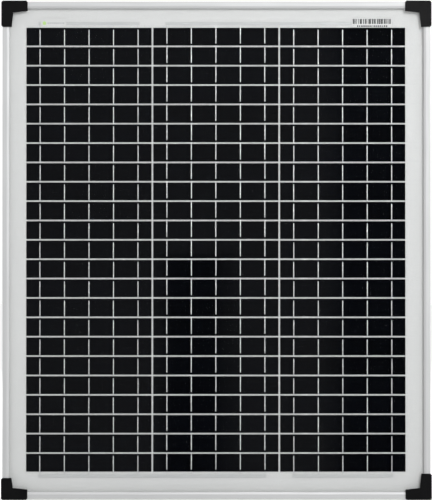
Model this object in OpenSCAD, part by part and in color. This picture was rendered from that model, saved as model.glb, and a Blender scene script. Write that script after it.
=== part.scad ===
// Framed glass solar panel, standing upright: the glass faces -Y, +Z is up.
// Y = 0 is the rear plane of the frame, and the origin is the centre of the
// four rear mounting holes. Depths named "at" are measured forward from Y = 0.

/* [Frame] */
// Width of the frame, left to right
frame_w = 540; // [538:1:542]
// Height of the frame, bottom to top
frame_h = 627; // [625:1:629]
// Depth of the frame, rear flange to front lip
frame_d = 30; // [30:1:34]
// Wall thickness of the frame extrusion
frame_wall = 1.4; // [1.2:0.1:1.5]
// How far the front lip reaches over the glass, from the outer face
lip_reach = 8.2; // [7.5:0.1:8.4]
// Width of the bevel along the lip's inner edge
lip_bevel = 2.8; // [2:0.1:3]
// How far the rear flange reaches in, from the outer face
flange_reach = 25; // [23:1:27]

/* [Laminate] */
// Thickness of the glass
glass_t = 3.2; // [2.8:0.1:3.2]
// Width of one cell strip, cut from a square wafer
strip_w = 158.2; // [157:0.1:158.6]
// Height of one cell strip
strip_h = 22.45; // [22:0.05:22.5]
// Gap between strips, both across and up
strip_gap = 2.03; // [1.6:0.01:2.2]
// Strips in one column
rows = 23; // [20:1:23]
// Ribbons across each strip
ribbons = 5; // [3:1:5]
// Width of one soldered ribbon
ribbon_w = 1.2; // [1:0.1:1.8]
// Width of the bus ribbons at the top and bottom
bus_w = 4; // [3:0.5:5]

/* [Corner caps] */
// Length of a cap's leg along the frame
cap_leg = 31.6; // [28:0.1:34]
// Length of the bottom left cap's upright leg, which is shorter
cap_short_leg = 26.1; // [26:0.1:34]
// How far the cap reaches in over the lip and glass at its leg's end
cap_reach = 11.5; // [11:0.5:12]
// How much further it reaches at the inner corner
cap_flare = 1.9; // [1:0.1:2.5]
// Wall thickness of the cap
cap_t = 1.5; // [1.2:0.1:1.6]

/* [Mounting holes] */
// Distance between the mounting holes, left to right
mount_dx = 506; // [504:1:508]
// Distance between the mounting holes, bottom to top
mount_dz = 330; // [280:10:400]
// Radius of a mounting hole
mount_r = 3.5; // [3.5:0.1:3.7]
// Distance between the two earthing holes
earth_dx = 300; // [240:10:340]
// Radius of an earthing hole
earth_r = 2.1; // [2:0.1:2.2]

/* [Junction box] */
// Width of the box
box_w = 100; // [96:1:104]
// Height of the box
box_h = 72; // [70:1:74]
// Height of the box's centre above the origin
box_z = 218; // [200:1:222]
// Distance between the two cable glands
gland_dx = 48; // [46:1:50]
// Radius of the bore in a gland's rubber seal
seal_r = 3.1; // [2.8:0.1:3.2]

/* [Hidden] */
$fn = 64;
columns = 3;
fit_gap = 0.05;

// Frame levels, forward from the rear plane
shelf_at = 21;
channel_at = shelf_at + frame_wall;
lip_at = frame_d - frame_wall;
chamber_in = 9.6;
web_in = chamber_in + frame_wall;
lip_bevel_in = 0.7;
mitre_past = 3;
earth_z = -frame_h / 2 + 18;

// Corner keys, and the caps' moulded details
key_leg = 46;
key_taper = [3, 2];
key_in = [frame_wall + fit_gap, chamber_in - fit_gap];
cap_clear = 0.3;
cap_chamfer = 1.7;
cap_round = 3;
pip_r = 2;
pip_at = 11;
pip_in = 22;

// Laminate levels, forward from the rear plane
edge_in = 3;
seal_front = 0.6;
seal_under = 0.6;
sheet_at = channel_at + 0.8;
sheet_t = 0.3;
rear_eva_at = sheet_at + sheet_t;
rear_eva_t = 0.65;
cell_at = rear_eva_at + rear_eva_t;
cell_t = 0.2;
ribbon_t = 0.2;
front_eva_at = cell_at + cell_t;
front_eva_t = lip_at - seal_front - glass_t - front_eva_at;
glass_at = front_eva_at + front_eva_t;
glass_front = glass_at + glass_t;

// The block of cells
block_x = -0.7;
column_gap_more = 0.17;
block_z = 0.7;
strip_dz = strip_h + strip_gap;
strip_dx = strip_w + strip_gap + column_gap_more;
block_h = rows * strip_dz - strip_gap;
block_top = block_z + block_h / 2;
ribbon_edge = 17.15;
ribbon_dx = (strip_w - 2 * ribbon_edge) / (ribbons - 1);
ribbon_start = 2.3;
bus_out = 5.5;
bus_past = 2;
lead_w = 5;
lead_at = rear_eva_at + 0.1;
lead_down = 13;
lead_in = [8, 14];
insulation_end = lead_at + ribbon_t + 0.15;
insulation_w = lead_w + 4;
slot_w = lead_w + 2;
slot_h = 4;
overlap = 0.01;

// Printed films: two above the cells, and the rating label on the rear sheet
film_t = 0.1;
label_h = 11.2;
label_z = block_top + 5.85;
serial_x = [171.5, 222.5];
maker_x = [-222, -190];
rating_x = [-60, 60];
rating_z = [60, 135];

// The junction box, which stands on the rear sheet
box_wall = 2.2;
box_back = sheet_at - 1;
box_floor = box_back - 2;
rim_at = 6;
lid_t = 2;
lid_at = 3;
lid_top = lid_at + lid_t;
skirt_gap = 0.4;
skirt_t = 1.4;
skirt_deep = 4.5;
box_bottom = box_z - box_h / 2;
box_top = box_z + box_h / 2;
slot_z = box_top - 8;
terminal_x = gland_dx / 2;
glue_in = [1, 14];
gasket_in = [0.4, 1.8];
gasket_gap = 0.1;
vent_at = 14.2;
vent_r = 4;
vent_stem_r = 2.5;
vent_proud = 2.4;

// Terminal plates on their ribs, wire clamps, screws and diodes
plate_at = 16;
plate_t = 1;
plate_w = 8;
plate_z = [box_z - 12, slot_z];
rib_z = [box_z - 4, box_z + 20];
rib_w = 6;
rib_t = 2;
clamp_at = 8.4;
clamp_z = [box_z - 12, box_z - 2];
clamp_half = 4.5;
wire_r = 2;
screw_z = box_z - 7;
screw_r = 1.5;
screw_head_r = 2.8;
screw_head_t = 1.8;
screw_slot_w = 0.8;
screw_slot_deep = 0.9;
diode_z = box_z + 10;
diode_at = 12.6;
diode_r = 2.6;
diode_half = 4.6;
leg_r = 0.6;
leg_in = 1.6;

// The lid hinge
hinge_z = box_top + 3.6;
hinge_at = lid_top + 0.2;
knuckle_r = 3;
pin_r = 1.5;
pin_half = 10;
station_x = 31;
lug_x = [[-10, -5], [5, 10]];
lug_deep = 5;
knuckle_half = 4.6;

// The lid's snap arms, and the catches on the box's lower wall that they hook over
front_skirt_half = 13;
arm_x = 43;
arm_w = 10;
arm_end = 13;
arm_out = 1.3;
catch_w = 6.8;
catch_at = [8, 11];
catch_out = 1.2;
catch_play = 0.45;

// The cable glands, which point straight down; w runs down from the box
gland_at = 13.2;
thread_r = 6;
collar_w = [1, 6];
body_end = 15;
hex_r = 8.6;
washer_r = 7.8;
seal_start = 7;
seal_out_r = 4.85;
cable_r = 3.4;
claw_w = [15.3, 19.2];
claw_r = 5.2;
claw_root = 1.4;
claw_play = 0.4;
fingers = 8;
finger_gap = 0.8;
nut_start = 6.6;
nut_end = 22;
nut_r = 7.9;
nose_r = 5.4;
nose_h = 3;
grips = 18;
grip_w = 1;
grip_out = 0.4;

aluminium = "silver";
black_plastic = "#1c1c1e";

// ---------------------------------------------------------------- placing

// The two ends of a stretch, from its middle and its length
function span(middle, length) = [middle - length / 2, middle + length / 2];

// A box from its low and high X and Z, and its nearer and further depth
module slab(x, z, at) {
    translate([x[0], -at[1], z[0]]) cube([x[1] - x[0], at[1] - at[0], z[1] - z[0]]);
}

// A flat shape drawn in X and Z, thickened between two depths
module plate(at) {
    translate([0, -at[0], 0]) rotate([90, 0, 0]) linear_extrude(at[1] - at[0]) children();
}

// A round bar or bore along the depth
module along_depth(x, z, at, r) {
    plate(at) translate([x, z]) circle(r);
}

module mirrored(on, axis) {
    if (on) mirror(axis) children();
    else children();
}

// Draws its child at the top left corner of the frame, flipped to another corner
module at_corner(right, bottom) {
    mirrored(right, [1, 0, 0]) mirrored(bottom, [0, 0, 1])
        translate([-frame_w / 2, 0, frame_h / 2]) children();
}

// ---------------------------------------------------------------- frame

// Cross-section of the extrusion: outer wall, lip, glass channel, chamber, flange
module rail_section() {
    difference() {
        polygon([[0, 0], [flange_reach, 0], [flange_reach, -frame_wall], [web_in, -frame_wall],
            [web_in, -channel_at], [frame_wall, -channel_at], [frame_wall, -lip_at],
            [lip_reach, -lip_at], [lip_reach, lip_bevel_in - frame_d],
            [lip_reach - lip_bevel, -frame_d], [0, -frame_d]]);
        translate([frame_wall, -shelf_at])
            square([chamber_in - frame_wall, shelf_at - frame_wall]);
    }
}

// One rail with mitred ends and the holes that the caps' pips snap into
module rail(length) {
    half = length / 2;
    reach = flange_reach + mitre_past;
    difference() {
        intersection() {
            translate([0, 0, -half]) linear_extrude(length) rail_section();
            plate([0, frame_d])
                polygon([[0, -half], [0, half], [reach, half - reach], [reach, reach - half]]);
        }
        for (side = [-1, 1])
            translate([-1, -pip_at, side * (half - pip_in)]) rotate([0, 90, 0])
                cylinder(h = 1 + frame_wall, r = pip_r + fit_gap);
    }
}

module rail_side(right) {
    color(aluminium) difference() {
        mirrored(right, [1, 0, 0]) translate([-frame_w / 2, 0, 0]) rail(frame_h);
        for (side = [-1, 1])
            along_depth((right ? 1 : -1) * mount_dx / 2, side * mount_dz / 2,
                [-1, frame_wall + 1], mount_r);
    }
}

module rail_end(bottom) {
    mirrored(bottom, [0, 0, 1]) translate([0, 0, frame_h / 2]) rotate([0, 90, 0]) rail(frame_w);
}

module frame_rail_left() rail_side(false);
module frame_rail_right() rail_side(true);
module frame_rail_top() color(aluminium) rail_end(false);
module frame_rail_bottom() color(aluminium) difference() {
    rail_end(true);
    for (side = [-1, 1])
        along_depth(side * earth_dx / 2, earth_z, [-1, frame_wall + 1], earth_r);
}

// Cast angle that fills the chambers where two rails meet, with tapered ends
module corner_key() color("gray") plate([frame_wall + fit_gap, shelf_at - fit_gap]) {
    outer = key_in[0];
    inner = key_in[1];
    end = key_leg - key_taper[0];
    polygon([[outer, -outer], [end, -outer], [key_leg, -outer - key_taper[1]],
        [key_leg, -inner + key_taper[1]], [end, -inner], [inner, -inner], [inner, -end],
        [inner - key_taper[1], -key_leg], [outer + key_taper[1], -key_leg], [outer, -end]]);
}

module corner_key_top_left() at_corner(false, false) corner_key();
module corner_key_top_right() at_corner(true, false) corner_key();
module corner_key_bottom_left() at_corner(false, true) corner_key();
module corner_key_bottom_right() at_corner(true, true) corner_key();

// Moulded cap: a flared L over the lip, two outer walls, and a foot on the glass
module cap_outline(upright) {
    out = -cap_t;
    inner = cap_reach + cap_flare;
    polygon([[out, out + cap_round], [out + cap_round, out],
        [cap_leg - cap_chamfer, out], [cap_leg, out + cap_chamfer], [cap_leg, cap_reach],
        [inner, inner], [cap_reach, upright], [out + cap_chamfer, upright],
        [out, upright - cap_chamfer]]);
    translate([out + cap_round, out + cap_round]) circle(cap_round);
}

module cap_drawn(upright) mirror([0, 1, 0]) cap_outline(upright);

module corner_cap(upright = cap_leg) color(black_plastic) {
    foot_in = lip_reach + cap_clear;
    difference() {
        plate([0, frame_d + cap_t]) cap_drawn(upright);
        plate([-1, frame_d]) translate([0, -2 * cap_leg]) square(2 * cap_leg);
    }
    plate([glass_front, frame_d]) intersection() {
        cap_drawn(upright);
        translate([foot_in, -2 * cap_leg]) square([2 * cap_leg, 2 * cap_leg - foot_in]);
    }
    translate([0, -pip_at, -pip_in]) rotate([0, 90, 0]) cylinder(h = frame_wall, r = pip_r);
    translate([pip_in, -pip_at, -frame_wall]) cylinder(h = frame_wall, r = pip_r);
}

module corner_cap_top_left() at_corner(false, false) corner_cap();
module corner_cap_top_right() at_corner(true, false) corner_cap();
module corner_cap_bottom_left() at_corner(false, true) corner_cap(cap_short_leg);
module corner_cap_bottom_right() at_corner(true, true) corner_cap();

// ---------------------------------------------------------------- laminate

// A sheet that stops short of the frame's outer faces by inset on all sides
module sheet(inset, at) {
    slab([inset - frame_w / 2, frame_w / 2 - inset], [inset - frame_h / 2, frame_h / 2 - inset],
        at);
}

// Foam tape folded round the edge of the laminate, inside the glass channel
module edge_seal() color("dimgray") difference() {
    sheet(frame_wall, [channel_at, lip_at]);
    sheet(edge_in, [sheet_at, glass_front]);
    sheet(web_in - 1, [channel_at - 1, sheet_at + 1]);
    sheet(lip_reach - seal_under, [glass_at, lip_at + 1]);
}

module front_glass() color([0.8, 0.9, 0.92, 0.3]) sheet(edge_in, [glass_at, glass_front]);

function column_x(c) = block_x + (c - (columns - 1) / 2) * strip_dx;
function row_top(r) = block_top - r * strip_dz;
function ribbon_x(c, k) = column_x(c) - strip_w / 2 + ribbon_edge + k * ribbon_dx;

// Thin strips across the margin above the cells, printed on white film
module film(x) slab(x, [label_z - label_h / 2, label_z + label_h / 2],
    [glass_at - film_t, glass_at]);
module serial_strip() color("white") film(serial_x);
module maker_strip() color("white") film(maker_x);

module ribbon_grooves(at) {
    for (c = [0 : columns - 1], k = [0 : ribbons - 1])
        slab(span(ribbon_x(c, k), ribbon_w),
            span(block_z, block_h + 2 * bus_out + bus_w), at);
}

module front_encapsulant() color([0.9, 0.9, 0.9, 0.3]) difference() {
    sheet(edge_in, [front_eva_at, glass_at]);
    ribbon_grooves([front_eva_at - 1, front_eva_at + ribbon_t]);
    film(serial_x);
    film(maker_x);
}

// A column of cell strips, wired in series from the top down or the bottom up
module cell_string(c) color("#0b0d14")
    for (r = [0 : rows - 1])
        slab(span(column_x(c), strip_w), [row_top(r) - strip_h, row_top(r)],
            [cell_at, front_eva_at]);

module cell_string_left() cell_string(0);
module cell_string_middle() cell_string(1);
module cell_string_right() cell_string(2);

// One ribbon seen from the side: over the front of strip r, then behind strip r + 1.
// The first has only its rear length, and the last ends behind the bus ribbon.
module ribbon_side(r) {
    front = front_eva_at;
    rear = cell_at - ribbon_t;
    z0 = row_top(r) - ribbon_start;
    z1 = row_top(r) - strip_h;
    z2 = z1 - strip_gap;
    z3 = r == rows - 1 ? z1 - bus_out - bus_w / 2 : z2 - strip_h + ribbon_start;
    start = block_top + bus_out + bus_w / 2;
    polygon(r < 0
        ? [[rear, start], [rear + ribbon_t, start], [rear + ribbon_t, z3], [rear, z3]]
        : [[front, z0], [front + ribbon_t, z0], [front + ribbon_t, z1], [rear + ribbon_t, z2],
            [rear + ribbon_t, z3], [rear, z3], [rear, z2], [front, z1]]);
}

module ribbon_set(c) {
    for (k = [0 : ribbons - 1], r = [-1 : rows - 1])
        translate([ribbon_x(c, k) + ribbon_w / 2, 0, 0]) rotate([90, 0, -90])
            linear_extrude(ribbon_w) ribbon_side(r);
}

module ribbons_left() color("silver") ribbon_set(0);
module ribbons_middle() color("silver") translate([0, 0, 2 * block_z]) mirror([0, 0, 1])
    ribbon_set(1);
module ribbons_right() color("silver") ribbon_set(2);

// Bus ribbons run along the ends of the columns, from one column's ribbon to another's
module bus(first, last, side) {
    z = block_z + side * (block_h / 2 + bus_out);
    slab([ribbon_x(first[0], first[1]) - bus_past, ribbon_x(last[0], last[1]) + bus_past],
        span(z, bus_w), [cell_at, front_eva_at]);
}

module top_bus_ribbons() color("gainsboro") {
    bus([0, 0], [0, ribbons - 1], 1);
    bus([1, 0], [2, ribbons - 1], 1);
}

module bottom_bus_ribbons() color("gainsboro") {
    bus([0, 0], [1, ribbons - 1], -1);
    bus([2, 0], [2, ribbons - 1], -1);
}

// Three leads run behind the cells from the bus ribbons to the junction box:
// the start of the left column, the tap above the middle, the end of the right one
function lead_path(n) =
    n == 0 ? [[ribbon_x(0, ribbons - 1) - lead_in[0], block_top + bus_out],
        [ribbon_x(0, ribbons - 1) - lead_in[0], block_top - lead_down]]
    : n == 1 ? [[0, block_top + bus_out], [0, slot_z]]
    : [[ribbon_x(2, 0) + lead_in[1], block_z - block_h / 2 - bus_out],
        [ribbon_x(2, 0) + lead_in[1], block_top - lead_down]];

// The flat outline of a lead: up or down from its bus, then across, then to its slot
module lead_outline(n, w) {
    half = w / 2;
    path = lead_path(n);
    x = path[0][0];
    low = min(path[0][1], path[1][1]);
    high = max(path[0][1], path[1][1]);
    slot_x = (n - 1) * terminal_x;
    translate([x - half, low - (n == 1 ? 0 : half)])
        square([w, high - low + (n == 1 ? 0 : w)]);
    if (n != 1) {
        translate([min(x, slot_x) - half, path[1][1] - half])
            square([abs(x - slot_x) + w, w]);
        translate([slot_x - half, slot_z]) square([w, path[1][1] - slot_z + half]);
    }
}

module output_leads() color("silver") for (n = [0 : 2]) {
    plate([lead_at, lead_at + ribbon_t]) lead_outline(n, lead_w);
    slab(span((n - 1) * terminal_x, lead_w), [slot_z, slot_z + ribbon_t],
        [plate_at, lead_at + ribbon_t]);
}

// White film between the leads and the backs of the cells
module lead_insulation() color("white") plate([lead_at + ribbon_t, insulation_end])
    intersection() {
        for (n = [0 : 2]) lead_outline(n, insulation_w);
        translate([-frame_w / 2, block_z - block_h / 2]) square([frame_w, block_h]);
    }

module lead_slots(at) {
    for (n = [-1 : 1]) slab(span(n * terminal_x, slot_w), span(slot_z, slot_h), at);
}

module rear_encapsulant() color([0.9, 0.9, 0.9, 0.3]) difference() {
    sheet(edge_in, [rear_eva_at, front_eva_at]);
    for (c = [0 : columns - 1])
        slab(span(column_x(c), strip_w), span(block_z, block_h),
            [cell_at, front_eva_at + 1]);
    for (side = [-1, 1])
        slab([ribbon_x(0, 0) - bus_past, ribbon_x(columns - 1, ribbons - 1) + bus_past],
            span(block_z + side * (block_h / 2 + bus_out), bus_w),
            [cell_at, front_eva_at + 1]);
    ribbon_grooves([cell_at - ribbon_t, front_eva_at + 1]);
    for (n = [0 : 2]) {
        plate([lead_at, lead_at + ribbon_t + overlap]) lead_outline(n, lead_w);
        plate([lead_at + ribbon_t, insulation_end]) lead_outline(n, insulation_w);
    }
    lead_slots([rear_eva_at - 1, lead_at + ribbon_t]);
}

module rear_sheet() color("white") difference() {
    sheet(edge_in, [sheet_at, rear_eva_at]);
    lead_slots([sheet_at - 1, rear_eva_at + 1]);
}

module rating_label() color("whitesmoke") slab(rating_x, rating_z,
    [sheet_at - film_t, sheet_at]);

// ---------------------------------------------------------------- junction box

module box_outline(inset) translate([inset - box_w / 2, box_bottom + inset])
    square([box_w - 2 * inset, box_h - 2 * inset]);

module at_glands() for (side = [-1, 1]) translate([side * gland_dx / 2, 0, 0]) children();

// A ring or rod on a gland's axis, between two distances down from the box
module gland_ring(w, r_out, r_in = 0) {
    translate([0, -gland_at, box_bottom - w[1]]) difference() {
        cylinder(h = w[1] - w[0], r = r_out);
        if (r_in > 0) translate([0, 0, -1]) cylinder(h = w[1] - w[0] + 2, r = r_in);
    }
}

module hinge_barrel(x, r) translate([x[0], -hinge_at, hinge_z]) rotate([0, 90, 0])
    cylinder(h = x[1] - x[0], r = r);

module hinge_stations() for (side = [-1, 1]) translate([side * station_x, 0, 0]) children();

// Catches that hold the lid's two snap arms, one on each side of the bottom wall
module junction_box_base() color(black_plastic) {
    difference() {
        union() {
            plate([rim_at, box_back]) box_outline(0);
            hinge_stations() for (x = lug_x) {
                hinge_barrel(x, knuckle_r);
                slab(x, [box_top - 1, hinge_z], [rim_at, rim_at + lug_deep]);
                slab(x, span(hinge_z, 2 * pin_r), [hinge_at, rim_at + 1]);
            }
            for (side = [-1, 1])
                slab(span(side * arm_x, catch_w), [box_bottom - catch_out, box_bottom + 1],
                    catch_at);
        }
        plate([0, box_floor]) box_outline(box_wall);
        hinge_stations() hinge_barrel([-pin_half - 1, pin_half + 1], pin_r);
        lead_slots([box_floor - 1, box_back + 1]);
        at_glands() gland_ring([-box_wall - 1, 1], thread_r + fit_gap);
        translate([0, -vent_at, box_bottom - 1]) cylinder(h = box_wall + 2, r = vent_stem_r + fit_gap);
    }
    for (n = [-1 : 1], z = rib_z)
        slab(span(n * terminal_x, rib_w), span(z, rib_t), [plate_at + plate_t, box_floor]);
}

module junction_box_adhesive() color("white") difference() {
    plate([box_back, sheet_at]) box_outline(glue_in[0]);
    plate([box_back - 1, sheet_at + 1]) box_outline(glue_in[1]);
    lead_slots([box_back - 1, sheet_at + 1]);
}

module junction_box_gasket() color("dimgray") difference() {
    plate([lid_top + gasket_gap, rim_at]) box_outline(gasket_in[0]);
    plate([0, rim_at + 1]) box_outline(gasket_in[1]);
}

module junction_box_lid() color(black_plastic) {
    low = box_bottom - skirt_gap - skirt_t;
    out = box_w / 2 + skirt_gap + skirt_t;
    slab([-out, out], [low, box_top], [lid_at, lid_top]);
    slab([-front_skirt_half, front_skirt_half], [low, low + skirt_t],
        [lid_top, lid_top + skirt_deep]);
    for (right = [false, true]) mirrored(right, [1, 0, 0]) {
        slab([-out, skirt_t - out], [low, box_top], [lid_top, lid_top + skirt_deep]);
        slab([-out, arm_w / 2 - arm_x], [low, low + skirt_t], [lid_top, lid_top + 2]);
        slab(span(-arm_x, arm_w), [low - arm_out, low], [lid_at, lid_top + 2]);
        difference() {
            slab(span(-arm_x, arm_w), [low - arm_out, low - arm_out + skirt_t],
                [lid_at, arm_end]);
            slab(span(-arm_x, catch_w + 1), [low - 3, low + 1],
                [catch_at[0] - catch_play, catch_at[1] + catch_play]);
        }
    }
    hinge_stations() difference() {
        union() {
            hinge_barrel([-knuckle_half, knuckle_half], knuckle_r);
            slab([-knuckle_half, knuckle_half], [box_top - 2, hinge_z], [lid_at, lid_top]);
        }
        hinge_barrel([-pin_half, pin_half], pin_r + fit_gap);
    }
}

module lid_hinge_pins() color("silver") hinge_stations() hinge_barrel([-pin_half, pin_half], pin_r);

// Tinned plates that the leads are soldered to, and the cable clamps on the outer two
module terminal_plates() color("silver") for (n = [-1 : 1])
    slab(span(n * terminal_x, plate_w), plate_z, [plate_at, plate_at + plate_t]);

module terminal_clamps() color("goldenrod") at_glands() difference() {
    slab([-clamp_half, clamp_half], clamp_z, [clamp_at, plate_at]);
    translate([0, -gland_at, clamp_z[0] - 1]) cylinder(h = clamp_z[1] - clamp_z[0] + 2, r = wire_r);
    along_depth(0, screw_z, [clamp_at - 1, gland_at], screw_r);
}

module terminal_screws() color("silver") at_glands() difference() {
    union() {
        along_depth(0, screw_z, [clamp_at, gland_at - wire_r - 0.1], screw_r);
        along_depth(0, screw_z, [clamp_at - screw_head_t, clamp_at], screw_head_r);
    }
    slab([-screw_head_r - 1, screw_head_r + 1], span(screw_z, screw_slot_w),
        [0, clamp_at - screw_head_t + screw_slot_deep]);
}

module bypass_diodes() for (side = [-1, 1]) {
    middle = side * terminal_x / 2;
    color("#222222") translate([middle - diode_half, -diode_at, diode_z])
        rotate([0, 90, 0]) cylinder(h = 2 * diode_half, r = diode_r);
    color("silver") for (end = [-1, 1]) {
        x = middle + end * (terminal_x / 2 - leg_in);
        body = middle + end * diode_half;
        translate([min(x, body), -diode_at, diode_z]) rotate([0, 90, 0])
            cylinder(h = abs(x - body), r = leg_r, $fn = 24);
        translate([x, -diode_at, diode_z]) sphere(leg_r, $fn = 24);
        along_depth(x, diode_z, [diode_at, plate_at], leg_r);
    }
}

module vent_plug() color("dimgray") translate([0, -vent_at, box_bottom]) {
    translate([0, 0, -vent_proud]) cylinder(h = vent_proud, r = vent_r);
    cylinder(h = box_wall, r = vent_stem_r);
}

// ---------------------------------------------------------------- cable glands

module gland_body() color(black_plastic) difference() {
    union() {
        gland_ring([-box_wall - 2, body_end], thread_r);
        translate([0, -gland_at, box_bottom - collar_w[1]])
            cylinder(h = collar_w[1] - collar_w[0], r = hex_r, $fn = 6);
    }
    gland_ring([-box_wall - 3, body_end + 1], cable_r);
    gland_ring([seal_start, body_end + 1], seal_out_r + fit_gap);
}

module gland_seal() color("#333333") gland_ring([seal_start, body_end - 0.4],
    seal_out_r, seal_r);

// A ring with eight fingers that the nut closes on the seal's end
module gland_claw() color("#333333") difference() {
    gland_ring(claw_w, claw_r, cable_r);
    for (turn = [0 : fingers - 1])
        translate([0, -gland_at, box_bottom - claw_w[1] + claw_root])
            rotate(turn * 360 / fingers) translate([cable_r - 1, -finger_gap / 2, 0])
                cube([claw_r, finger_gap, claw_w[1] - claw_w[0]]);
}

module gland_nut() color(black_plastic) difference() {
    union() {
        gland_ring([nut_start, nut_end - nose_h], nut_r);
        translate([0, -gland_at, box_bottom - nut_end])
            rotate_extrude() polygon([[0, 0], [nose_r, 0], [nut_r, nose_h], [0, nose_h]]);
        for (turn = [0 : grips - 1])
            translate([0, -gland_at, box_bottom - nut_end + nose_h + 1])
                rotate(turn * 360 / grips) translate([nut_r - 0.5, -grip_w / 2, 0])
                    cube([grip_out + 0.5, grip_w, nut_end - nut_start - nose_h - 2]);
    }
    gland_ring([nut_start - 1, claw_w[0] + 0.2], thread_r + 2 * fit_gap);
    gland_ring([claw_w[0] - claw_play, claw_w[1] + claw_play], claw_r + claw_play);
    gland_ring([nut_start, nut_end + 1], cable_r + 0.2);
}

module gland_side(side) translate([side * gland_dx / 2, 0, 0]) children();

module gland_washers() color("dimgray") at_glands()
    gland_ring([0, collar_w[0]], washer_r, thread_r);
module gland_body_left() gland_side(-1) gland_body();
module gland_body_right() gland_side(1) gland_body();
module gland_seal_left() gland_side(-1) gland_seal();
module gland_seal_right() gland_side(1) gland_seal();
module gland_claw_left() gland_side(-1) gland_claw();
module gland_claw_right() gland_side(1) gland_claw();
module gland_nut_left() gland_side(-1) gland_nut();
module gland_nut_right() gland_side(1) gland_nut();

// ---------------------------------------------------------------- drawing

frame_rail_left();
frame_rail_right();
frame_rail_top();
frame_rail_bottom();
corner_key_top_left();
corner_key_top_right();
corner_key_bottom_left();
corner_key_bottom_right();
corner_cap_top_left();
corner_cap_top_right();
corner_cap_bottom_left();
corner_cap_bottom_right();
edge_seal();
front_glass();
front_encapsulant();
cell_string_left();
cell_string_middle();
cell_string_right();
ribbons_left();
ribbons_middle();
ribbons_right();
top_bus_ribbons();
bottom_bus_ribbons();
output_leads();
lead_insulation();
rear_encapsulant();
rear_sheet();
serial_strip();
maker_strip();
rating_label();
junction_box_base();
junction_box_adhesive();
junction_box_gasket();
junction_box_lid();
lid_hinge_pins();
terminal_plates();
terminal_clamps();
terminal_screws();
bypass_diodes();
vent_plug();
gland_body_left();
gland_body_right();
gland_washers();
gland_seal_left();
gland_seal_right();
gland_claw_left();
gland_claw_right();
gland_nut_left();
gland_nut_right();
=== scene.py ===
import math

import bmesh
import bpy
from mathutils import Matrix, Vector


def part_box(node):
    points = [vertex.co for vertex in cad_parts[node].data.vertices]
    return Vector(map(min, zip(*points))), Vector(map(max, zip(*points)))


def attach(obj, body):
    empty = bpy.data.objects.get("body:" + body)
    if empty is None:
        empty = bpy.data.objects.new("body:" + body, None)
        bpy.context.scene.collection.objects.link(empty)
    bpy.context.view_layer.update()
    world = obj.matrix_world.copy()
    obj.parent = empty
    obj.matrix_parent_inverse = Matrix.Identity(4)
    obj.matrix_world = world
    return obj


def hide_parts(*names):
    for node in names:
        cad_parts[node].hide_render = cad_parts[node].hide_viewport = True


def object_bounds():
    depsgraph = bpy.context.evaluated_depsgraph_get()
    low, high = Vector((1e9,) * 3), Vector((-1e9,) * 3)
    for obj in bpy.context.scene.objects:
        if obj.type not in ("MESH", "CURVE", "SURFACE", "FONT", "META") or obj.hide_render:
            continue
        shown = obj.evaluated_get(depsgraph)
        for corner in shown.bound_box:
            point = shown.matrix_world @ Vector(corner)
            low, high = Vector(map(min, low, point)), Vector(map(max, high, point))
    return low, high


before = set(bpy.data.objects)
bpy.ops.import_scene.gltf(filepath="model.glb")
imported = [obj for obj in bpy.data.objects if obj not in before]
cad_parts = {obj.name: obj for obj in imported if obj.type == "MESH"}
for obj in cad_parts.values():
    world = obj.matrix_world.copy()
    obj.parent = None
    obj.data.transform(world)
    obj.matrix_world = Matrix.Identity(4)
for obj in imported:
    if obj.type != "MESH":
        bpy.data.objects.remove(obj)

cad_low, cad_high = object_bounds()


# ---------------------------------------------------------------- frame rails
# Four lengths of one hollow aluminium extrusion, mitred and clear anodised. The die leaves
# faint lines along each rail, and every edge is drawn with a small radius.

rail_edge = 0.0004
weld_reach = 1e-6
rail_silver = (0.63, 0.635, 0.64, 1)
rail_silver_worn = (0.58, 0.585, 0.59, 1)


def new_material(name, **sockets):
    """A material with one Principled shader; values that are the same all over go on its sockets."""
    material = bpy.data.materials.new(name)
    material.use_nodes = True
    tree = material.node_tree
    shader = tree.nodes["Principled BSDF"]
    for socket, value in sockets.items():
        shader.inputs[socket.replace("_", " ")].default_value = value
    return material, tree, shader


def place(tree, squeeze=(1, 1, 1)):
    """Object coordinates in metres, squeezed along each axis."""
    coords = tree.nodes.new("ShaderNodeTexCoord")
    mapping = tree.nodes.new("ShaderNodeMapping")
    mapping.inputs["Scale"].default_value = squeeze
    tree.links.new(coords.outputs["Object"], mapping.inputs["Vector"])
    return mapping.outputs["Vector"]


def grain(tree, grains_per_metre, squeeze=(1, 1, 1), detail=3.0):
    """Noise between 0 and 1, finer or longer along each axis."""
    noise = tree.nodes.new("ShaderNodeTexNoise")
    noise.inputs["Scale"].default_value = grains_per_metre
    noise.inputs["Detail"].default_value = detail
    tree.links.new(place(tree, squeeze), noise.inputs["Vector"])
    return noise.outputs["Fac"]


def between(tree, factor, low, high, start=0.3, end=0.7):
    """A value that goes from low to high as the factor goes from start to end."""
    ramp = tree.nodes.new("ShaderNodeMapRange")
    ramp.inputs["From Min"].default_value = start
    ramp.inputs["From Max"].default_value = end
    ramp.inputs["To Min"].default_value = low
    ramp.inputs["To Max"].default_value = high
    tree.links.new(factor, ramp.inputs["Value"])
    return ramp.outputs["Result"]


def mixed(tree, factor, first, second):
    """A colour between two colours, or between another node's colour and a second one."""
    mix = tree.nodes.new("ShaderNodeMix")
    mix.data_type = "RGBA"
    tree.links.new(factor, mix.inputs[0])
    for socket, colour in ((mix.inputs[6], first), (mix.inputs[7], second)):
        if isinstance(colour, bpy.types.NodeSocket):
            tree.links.new(colour, socket)
        else:
            socket.default_value = colour
    return mix.outputs[2]


def raised(tree, shader, height, depth, strength=1.0):
    """Turns a height between 0 and 1 into a bump that is depth metres deep."""
    bump = tree.nodes.new("ShaderNodeBump")
    bump.inputs["Distance"].default_value = depth
    bump.inputs["Strength"].default_value = strength
    tree.links.new(height, bump.inputs["Height"])
    tree.links.new(bump.outputs["Normal"], shader.inputs["Normal"])


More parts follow.
